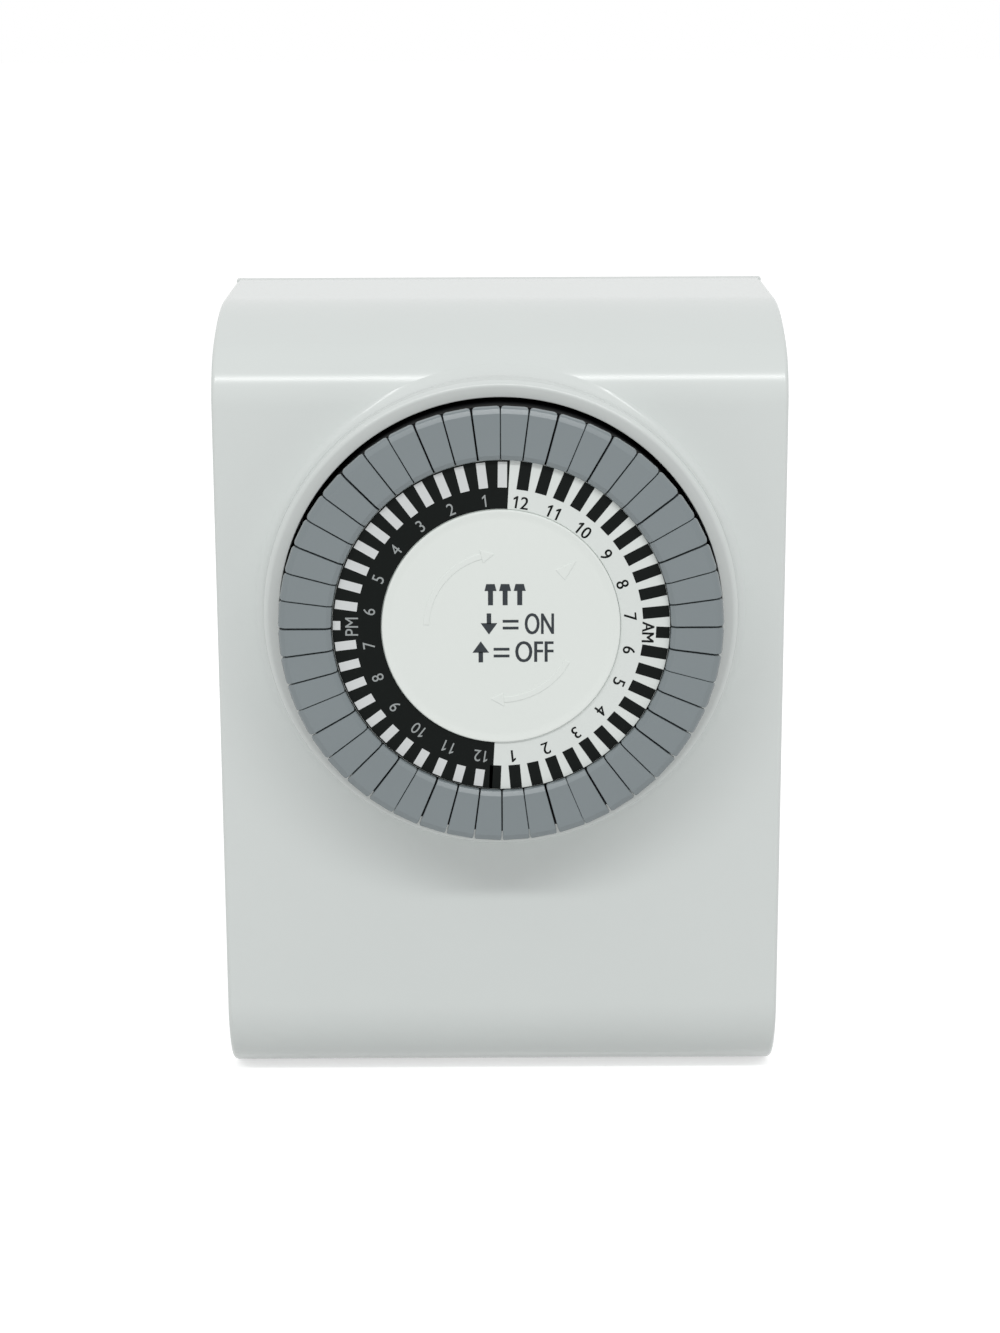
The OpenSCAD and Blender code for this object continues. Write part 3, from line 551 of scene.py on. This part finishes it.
def pin_parts(angle):
    """Vertices and faces of one pin that points at an angle clockwise from the top."""
    turn = math.radians(angle)
    radial = (math.sin(turn), math.cos(turn))

    def at(r, t, depth):
        return place(r * radial[0] + t * radial[1], DIAL_Z + r * radial[1] - t * radial[0], depth)

    lean = math.tan(math.radians(PITCH / 2))
    head = []
    for r, top in head_stations():
        half = r * lean - PIN_GAP / 2
        half -= max(corner_cut(PIN_OUT - r, OUTER_CORNER), corner_cut(r - PIN_IN, INNER_CORNER))
        edge = [(-half, HEAD_LOW), (-half, top - SIDE_BEVEL), (SIDE_BEVEL - half, top)]
        edge += [(-t, d) for t, d in reversed(edge)]
        head.append([at(r, t, d) for t, d in edge])
    half = PIN_OUT * lean - PIN_GAP / 2 - OUTER_CORNER
    skirt = [
        [at(r, t, d) for r, t in ((SKIRT_IN, -half), (PIN_OUT, -half), (PIN_OUT, half), (SKIRT_IN, half))]
        for d in (SKIRT_LOW, SKIRT_TOP)
    ]
    stem_end = [(STEM_IN, -STEM_HALF), (STEM_OUT, -STEM_HALF), (STEM_OUT, STEM_HALF), (STEM_IN, STEM_HALF)]
    stem = [[at(r, t, d) for r, t in stem_end] for d in (STEM_LOW, STEM_TOP)]
    return [lofted(head), lofted(skirt), lofted(stem)]


def make_pins():
    """The 48 pins, two to a piece, each turned a hair off its true place."""
    uneven = random.Random(SEED)
    for hour in range(HALF_DAY):
        parts = []
        for half in (0, 1):
            angle = PITCH * (2 * hour + half + 0.5) + uneven.uniform(-UNEVEN, UNEVEN)
            parts += pin_parts(angle)
        name = f"hour_pins_{hour + 1:02d}"
        pair = outward(joined("pins_" + name[-2:], parts))
        smooth(pair, PIN_SHARP)
        paint(pair, "pin")
        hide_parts(name)
        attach(pair, name)


# ---- printed scale ----

def polar(r, angle, shift=(0, 0)):
    """The point (x, z) at a radius and an angle from the dial's centre, or from a point shifted off it."""
    turn = math.radians(angle)
    return (shift[0] + r * math.sin(turn), shift[1] + r * math.cos(turn))


def printed(outline, depth, below=2 * PRINT_T):
    """A flat shape with its face at a depth, from an outline round the dial's centre."""
    layers = [[place(x, DIAL_Z + z, d) for x, z in outline] for d in (depth - below, depth)]
    return lofted(layers)


def bar(angle, inner, outer, width):
    """A mark with parallel sides that points at the dial's centre."""
    turn = math.radians(angle)
    along = Vector((math.sin(turn), math.cos(turn)))
    across = Vector((along[1], -along[0])) * width / 2
    ends = (along * inner - across, along * outer - across, along * outer + across, along * inner + across)
    return [tuple(p) for p in ends]


def sector(start, end, inner, outer):
    """A part of a ring between two angles and two radii."""
    steps = 120
    angles = [start + (end - start) * i / steps for i in range(steps + 1)]
    return [polar(outer, a) for a in angles] + [polar(inner, a) for a in reversed(angles)]


def glyphs(text, height):
    """Vertices and triangles of a plain text, centred, with its capitals of a height, in metres."""
    curve = bpy.data.curves.new("glyphs", "FONT")
    curve.body = text
    curve.size = 1
    curve.resolution_u = 4
    curve.align_x = "CENTER"
    obj = bpy.data.objects.new("glyphs", curve)
    bpy.context.scene.collection.objects.link(obj)
    graph = bpy.context.evaluated_depsgraph_get()
    graph.update()
    mesh = bpy.data.meshes.new_from_object(obj.evaluated_get(graph))
    low = min(v.co.y for v in mesh.vertices)
    high = max(v.co.y for v in mesh.vertices)
    left = min(v.co.x for v in mesh.vertices)
    right = max(v.co.x for v in mesh.vertices)
    scale = height / (high - low)
    middle = ((left + right) / 2, (low + high) / 2)
    flat = [((v.co.x - middle[0]) * scale, (v.co.y - middle[1]) * scale) for v in mesh.vertices]
    faces = [tuple(p.vertices) for p in mesh.polygons]
    bpy.data.objects.remove(obj)
    bpy.data.curves.remove(curve)
    bpy.data.meshes.remove(mesh)
    return flat, faces


def figures(text, height):
    """A plain number of one or two figures, as vertices and faces; each 1 has its flag."""
    verts, faces = [], []
    for i, figure in enumerate(text):
        shift = (i - (len(text) - 1) / 2) * FIGURE_STEP * height
        if figure == "1":
            flat = [(x * height, y * height) for x, y in FIGURE_ONE]
            polygons = [tuple(range(len(FIGURE_ONE)))]
        else:
            flat, polygons = glyphs(figure, height)
        base = len(verts)
        verts += [(x + shift, y) for x, y in flat]
        faces += [tuple(base + v for v in polygon) for polygon in polygons]
    return verts, faces


def raised_text(text, centre, tilt, height, depth, squeeze=1.0, bold=0.0):
    """A text printed on a face, tilted clockwise, its centre as (x, z) from the dial's centre.

    A bold text has two more copies, one to each side and each a hair lower.
    """
    flat, faces = figures(text, height) if text.isdigit() else glyphs(text, height)
    turn = math.radians(tilt)
    verts, polygons = [], []
    for i, shift in enumerate((0, -bold, bold) if bold else (0,)):
        base = len(verts)
        layer = depth - i * BOLD_STEP
        for x, z in flat:
            x = x * squeeze + shift * height
            across = x * math.cos(turn) + z * math.sin(turn)
            up = -x * math.sin(turn) + z * math.cos(turn)
            verts.append(place(centre[0] + across, DIAL_Z + centre[1] + up, layer))
        polygons += [tuple(base + v for v in face) for face in faces]
    return verts, polygons


def make_disc():
    """The white scale disc, close round the cap and close inside the pins."""
    low = -DISC_HIGH.y
    shoulder = DISC_TOP - DISC_EASE
    profile = [(DISC_IN, low), (DISC_IN, shoulder), (DISC_IN + DISC_EASE, DISC_TOP)]
    profile += [(DISC_OUT - DISC_EASE, DISC_TOP), (DISC_OUT, shoulder), (DISC_OUT, low)]
    disc = revolved("disc", profile, DISC_STEPS, DIAL_Z)
    smooth(disc, 40)
    paint(disc, "disc")
    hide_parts("scale_disc")
    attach(disc, "dial")


def am_ticks(depth):
    """The morning half's black ticks. They are printed a little off the dial's centre."""
    ticks = []
    for k in range(1, HALF_DAY + 1):
        x, z = polar(AM_TICK["inner"], k * PITCH + AM_TICK["turn"], AM_OFF_CENTRE)
        angle = math.degrees(math.atan2(x, z))
        start = AM_TICK["inner"] - AM_TICK["drop"] * math.cos(math.radians(angle))
        if k * PITCH == AM_SHORT["tick"]:
            start = AM_SHORT["inner"]
        ticks.append(printed(bar(angle, start, AM_TICK["outer"], AM_TICK["width"]), depth))
    return ticks


def pm_ticks(depth):
    """The afternoon half's white ticks."""
    ticks = []
    for k in range(HALF_DAY + 1, PIN_COUNT + 1):
        angle = k * PITCH + PM_TICK["turn"]
        start = PM_TICK["inner"] - PM_TICK["drop"] * math.cos(math.radians(angle))
        end = PM_TICK["outer"]
        if k * PITCH == PM_SHORT["tick"]:
            start, end = PM_SHORT["inner"], PM_SHORT["outer"]
        ticks.append(printed(bar(angle, start, end, PM_TICK["width"]), depth))
    return ticks


def number_print(first, hour, spot, depth, style):
    """The number of an hour, counted down from 12, in the half whose first number is at a given pin."""
    angle = PITCH * (first + 2 * hour) + spot["turn"]
    return raised_text(str(12 - hour), polar(spot["r"], angle, spot["shift"]), angle, depth=depth, **style)


def word_print(word, at, depth, style):
    """A word printed at (radius, angle), its top away from the dial's centre."""
    return raised_text(word, polar(*at), at[1], depth=depth, **style)


def make_scale():
    """The black afternoon half, the ticks of both halves, the numbers and the two words."""
    low = DISC_TOP + PRINT_T
    high = DISC_TOP + 2 * PRINT_T
    black = [printed(sector(*SECTOR), low)] + am_ticks(low)
    grey = []
    for hour in range(12):
        black.append(number_print(1, hour, AM_PLACE, low, AM_NUMBER))
        grey.append(number_print(1 + HALF_DAY, hour, PM_PLACE, high, PM_NUMBER))
    black.append(word_print("AM", AM_WORD_AT, low, AM_WORD))
    grey.append(word_print("PM", PM_WORD_AT, high, PM_WORD))
    for name, parts, finish in (
        ("scale_black", black, "black_print"),
        ("scale_white", pm_ticks(high), "white_print"),
        ("scale_grey", grey, "pale_print"),
    ):
        marks = joined(name, parts)
        paint(marks, finish)
        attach(marks, "dial")


# ---- centre cap ----

def make_cap():
    """The white cap with its boss, its raised turning arrows and its legend."""
    face = CAP_TOP - CAP_DISH
    rim = CAP_EDGE - CAP_ROUND
    profile = [(AXIS, face), (CAP_FLAT, face), (CAP_SLOPE[0], face + CAP_SLOPE[1])]
    profile += [(CAP_EDGE - CAP_RIM[0], CAP_TOP - CAP_RIM[1]), (rim, CAP_TOP)]
    profile += arc((rim, CAP_TOP - CAP_ROUND), CAP_ROUND, 70, 0, 4)
    profile += [(CAP_EDGE, CAP_UNDER), (BOSS_OUT, CAP_UNDER)]
    profile += [(BOSS_OUT, -CAP_HIGH.y), (BOSS_IN, -CAP_HIGH.y)]
    profile += [(BOSS_IN, BOSS_FLOOR), (AXIS, BOSS_FLOOR)]
    cap = revolved("cap", profile, 144, DIAL_Z)
    smooth(cap, 25)
    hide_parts("centre_cap")
    arrows = outward(joined("cap_arrows", arrow_parts(face)))
    ease = arrows.modifiers.new("eased edges", "BEVEL")
    ease.width = MARK_EASE
    ease.segments = 2
    legend = joined("legend", legend_parts(face + PRINT_T))
    for obj, finish, slot in (
        (cap, "cap", "cap_white"),
        (arrows, "cap", "cap_white"),
        (legend, "grey_print", "scale_print"),
    ):
        paint(obj, finish)
        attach(obj, "housing")


def arrow_parts(face):
    """Two raised clockwise arrows and the pointer that tells the time."""
    outlines = []
    for start, end in ARROWS:
        outlines.append(sector(start, end, ARROW_R - ARROW_HALF, ARROW_R + ARROW_HALF))
        barb = [polar(ARROW_R - BARB_HALF, end), polar(ARROW_R + BARB_HALF, end)]
        outlines.append(barb + [polar(ARROW_R, end + BARB_TURN)])
    low, high = POINTER_R
    foot = [polar(low, POINTER - POINTER_HALF), polar(low, POINTER + POINTER_HALF)]
    outlines.append([foot[0], polar(high, POINTER), foot[1]])
    return [printed(outline, face + MARK_RISE, 2 * MARK_RISE) for outline in outlines]


def sign(shapes, centre, way=1):
    """The outlines of a sign at its place, upside down where way is -1."""
    x, z = centre[0] * MM, centre[1] * MM
    return [[(x + across * MM, z + up * MM * way) for across, up in shape] for shape in shapes]


def equals_bars():
    """The outlines of the two equals signs."""
    bars = []
    for x, z in EQUALS:
        for up in (EQUALS_RISE, -EQUALS_RISE):
            low, high = (z + up - EQUALS_HALF_T) * MM, (z + up + EQUALS_HALF_T) * MM
            left, right = (x - EQUALS_HALF_WIDTH) * MM, (x + EQUALS_HALF_WIDTH) * MM
            bars.append([(left, low), (left, high), (right, high), (right, low)])
    return bars


def legend_parts(depth):
    """A plain legend: pins pressed down turn the outlet on, pins left up turn it off."""
    signs = []
    for centre in PIN_SIGNS:
        signs += sign(PIN_SIGN, centre)
    signs += sign(ARROW_SIGN, DOWN_ARROW, -1)
    signs += sign(ARROW_SIGN, UP_ARROW)
    parts = [printed(outline, depth) for outline in signs]
    for word, x, z, squeeze in WORDS:
        parts.append(raised_text(word, (x * MM, z * MM), 0, depth=depth, squeeze=squeeze, **WORD))
    return parts + [printed(outline, depth) for outline in equals_bars()]


# ---- camera and light ----

def add_camera():
    """The camera, turned about the height, tilted up from straight down, and rolled."""
    data = bpy.data.cameras.new("camera")
    data.lens = LENS
    data.sensor_width = SENSOR
    camera = bpy.data.objects.new("camera", data)
    turn = Matrix.Rotation(math.radians(CAMERA_TURN), 3, "Z")
    tilt = Matrix.Rotation(math.radians(CAMERA_TILT), 3, "X")
    roll = Matrix.Rotation(math.radians(CAMERA_ROLL), 3, "Z")
    camera.location = CAMERA_AT
    camera.rotation_euler = (turn @ tilt @ roll).to_euler()
    bpy.context.scene.collection.objects.link(camera)
    bpy.context.scene.camera = camera


def area_light(name, energy, size, distance, elevation):
    """A soft light that looks at the dial from a distance in front and an elevation, in degrees."""
    data = bpy.data.lights.new(name, "AREA")
    data.shape = "RECTANGLE"
    data.size, data.size_y = size
    data.energy = energy
    lamp = bpy.data.objects.new(name, data)
    up = math.radians(elevation)
    away = Vector((0, -math.cos(up), math.sin(up)))
    target = place(0, DIAL_Z, FRONT)
    lamp.location = target + away * distance
    lamp.rotation_euler = (-away).to_track_quat("-Z", "Y").to_euler()
    bpy.context.scene.collection.objects.link(lamp)


def seen_white(nodes, links):
    """1 on rays that come from the camera, a reflection or a clear surface."""
    path = nodes.new("ShaderNodeLightPath")
    first = nodes.new("ShaderNodeMath")
    first.operation = "MAXIMUM"
    second = nodes.new("ShaderNodeMath")
    second.operation = "MAXIMUM"
    links.new(path.outputs["Is Camera Ray"], first.inputs[0])
    links.new(path.outputs["Is Glossy Ray"], first.inputs[1])
    links.new(first.outputs[0], second.inputs[0])
    links.new(path.outputs["Is Transmission Ray"], second.inputs[1])
    return second.outputs[0]


def add_world(ambient):
    """Even light from all round; the camera, reflections and clear surfaces see plain white."""
    world = bpy.data.worlds.new("studio")
    bpy.context.scene.world = world
    world.use_nodes = True
    nodes, links = world.node_tree.nodes, world.node_tree.links
    soft = nodes["Background"]
    soft.inputs["Color"].default_value = (1, 1, 1, 1)
    soft.inputs["Strength"].default_value = ambient
    white = nodes.new("ShaderNodeBackground")
    white.inputs["Color"].default_value = (1, 1, 1, 1)
    white.inputs["Strength"].default_value = 1
    mix = nodes.new("ShaderNodeMixShader")
    links.new(seen_white(nodes, links), mix.inputs["Fac"])
    links.new(soft.outputs[0], mix.inputs[1])
    links.new(white.outputs[0], mix.inputs[2])
    links.new(mix.outputs[0], nodes["World Output"].inputs["Surface"])


def add_floor():
    """A pale floor that the camera sees white and that keeps a soft shadow."""
    level = BOTTOM - FLOOR_DROP
    sides = ((-1, -1), (1, -1), (1, 1), (-1, 1))
    corners = [(x * FLOOR_HALF, y * FLOOR_HALF, level) for x, y in sides]
    floor = new_object("floor", corners, [(0, 1, 2, 3)])
    mat = bpy.data.materials.new("floor")
    mat.use_nodes = True
    nodes, links = mat.node_tree.nodes, mat.node_tree.links
    shader = nodes["Principled BSDF"]
    shader.inputs["Base Color"].default_value = (FLOOR_GREY, FLOOR_GREY, FLOOR_GREY, 1)
    shader.inputs["Roughness"].default_value = 0.9
    shader.inputs["Specular IOR Level"].default_value = 0
    shader.inputs["Emission Color"].default_value = (1, 1, 1, 1)
    glow = nodes.new("ShaderNodeMath")
    glow.operation = "MULTIPLY"
    glow.inputs[1].default_value = FLOOR_GLOW
    links.new(seen_white(nodes, links), glow.inputs[0])
    links.new(glow.outputs[0], shader.inputs["Emission Strength"])
    floor.data.materials.append(mat)


dress_frame()
make_shell()
make_pins()
make_disc()
make_scale()
make_cap()
add_camera()
add_world(AMBIENT)
add_floor()
area_light("strip", **STRIP)
bpy.context.scene.view_settings.view_transform = "Standard"
